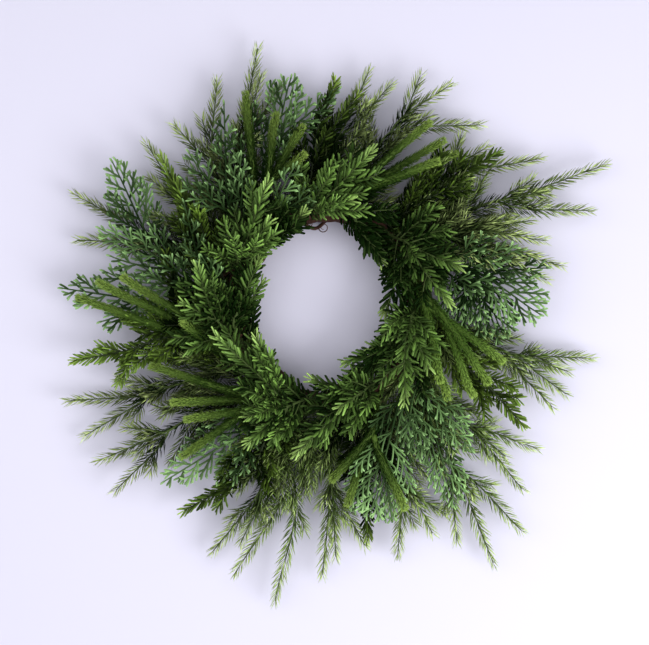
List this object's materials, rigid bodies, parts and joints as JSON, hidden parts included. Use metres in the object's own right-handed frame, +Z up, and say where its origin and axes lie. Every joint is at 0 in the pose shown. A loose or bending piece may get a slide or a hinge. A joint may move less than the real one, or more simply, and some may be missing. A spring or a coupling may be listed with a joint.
{
  "type": "evergreen wreath",
  "caption": "Round evergreen wreath of spruce, fir, cypress and foxtail sprays swirled round a twisted vine ring, open in the middle and lying flat on its back.",
  "frame": {"origin": "under the middle of the whole wreath, on the surface that it lies on", "axes": "+Z up, along the ring's axis, out of the wreath's face; +Y towards the picture's top edge and +X to its right"},
  "size_m": [0.6046, 0.6216, 0.0864],
  "materials": {
    "spruce_green": "satin",
    "dark_fir_green": "satin",
    "fir_green": "satin",
    "cypress_green": "satin",
    "foxtail_green": "matte",
    "vine_brown": "matte"
  },
  "bodies": {
    "root": {"cypress_01": "cypress_green", "cypress_02": "cypress_green", "cypress_03": "cypress_green", "cypress_04": "cypress_green", "cypress_05": "cypress_green", "cypress_06": "cypress_green", "cypress_07": "cypress_green", "cypress_08": "cypress_green", "cypress_09": "cypress_green", "cypress_10": "cypress_green", "fir_01": "fir_green", "fir_02": "fir_green", "fir_03": "fir_green", "fir_04": "fir_green", "fir_05": "fir_green", "fir_06": "fir_green", "fir_07": "fir_green", "fir_08": "fir_green", "fir_09": "fir_green", "fir_10": "fir_green", "fir_11": "fir_green", "fir_12": "fir_green", "fir_13": "fir_green", "fir_14": "fir_green", "foxtail_01": "foxtail_green", "foxtail_02": "foxtail_green", "foxtail_03": "foxtail_green", "foxtail_04": "foxtail_green", "foxtail_05": "foxtail_green", "foxtail_06": "foxtail_green", "low_fir_01": "dark_fir_green", "low_fir_02": "dark_fir_green", "low_fir_03": "dark_fir_green", "low_fir_04": "dark_fir_green", "low_fir_05": "dark_fir_green", "low_fir_06": "dark_fir_green", "low_fir_07": "dark_fir_green", "low_fir_08": "dark_fir_green", "spruce_01": "spruce_green", "spruce_02": "spruce_green", "spruce_03": "spruce_green", "spruce_04": "spruce_green", "spruce_05": "spruce_green", "spruce_06": "spruce_green", "spruce_07": "spruce_green", "spruce_08": "spruce_green", "spruce_09": "spruce_green", "spruce_10": "spruce_green", "spruce_11": "spruce_green", "spruce_12": "spruce_green", "spruce_13": "spruce_green", "spruce_14": "spruce_green", "spruce_15": "spruce_green", "spruce_16": "spruce_green", "spruce_17": "spruce_green", "spruce_18": "spruce_green", "vine_core": "vine_brown", "vine_wrap": "vine_brown"}
  },
  "joints": []
}
